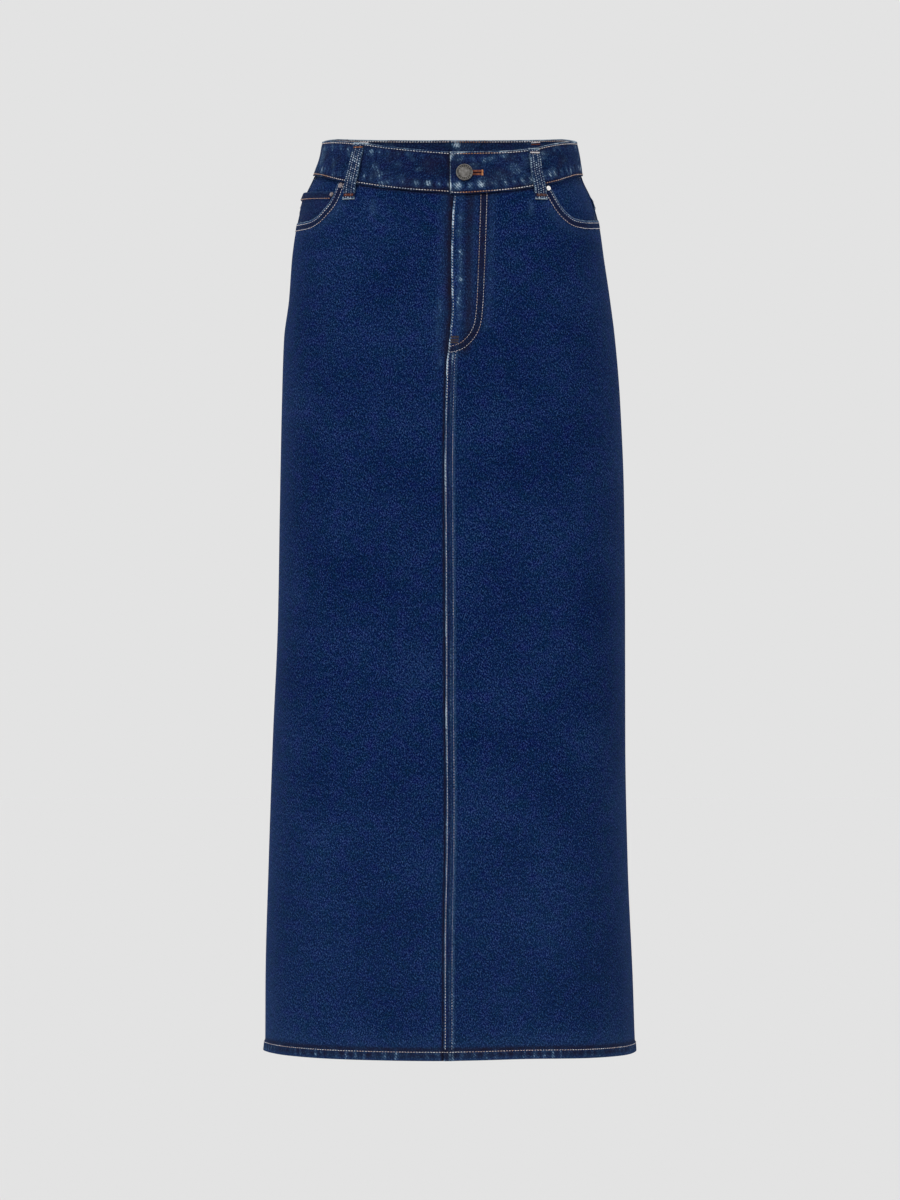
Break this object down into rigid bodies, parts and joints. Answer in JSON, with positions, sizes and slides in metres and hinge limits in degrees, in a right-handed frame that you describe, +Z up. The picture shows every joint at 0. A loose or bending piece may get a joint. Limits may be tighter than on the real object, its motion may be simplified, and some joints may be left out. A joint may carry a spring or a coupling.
{
  "type": "denim skirt",
  "caption": "Long straight denim skirt in dark indigo, filled out as worn, with a buttoned waistband, fly, curved front pockets, patch back pockets and belt loops.",
  "frame": {"origin": "the middle of the waist, half way down the waistband at the side seams", "axes": "+Z up, the front faces -Y, and the wearer's left is +X"},
  "size_m": [0.3866, 0.2696, 0.9556],
  "materials": {
    "denim": "rinsed dark indigo twill, matt",
    "antique_nickel": "dull antiqued nickel",
    "nickel_rivet": "plain nickel, softly polished"
  },
  "bodies": {
    "root": {"front_panel_left": "denim", "front_panel_right": "denim", "back_panel_left": "denim", "back_panel_right": "denim", "yoke_left": "denim", "yoke_right": "denim", "waistband_left": "denim", "waistband_right": "denim", "pocket_facing_left": "denim", "pocket_facing_right": "denim", "coin_pocket": "denim", "back_pocket_left": "denim", "back_pocket_right": "denim", "belt_loop_front_left": "denim", "belt_loop_front_right": "denim", "belt_loop_back_left": "denim", "belt_loop_back_right": "denim", "belt_loop_centre_back": "denim", "button": "antique_nickel", "rivet_pocket_left": "nickel_rivet", "rivet_pocket_right": "nickel_rivet", "rivet_coin_pocket": "nickel_rivet"}
  },
  "joints": []
}
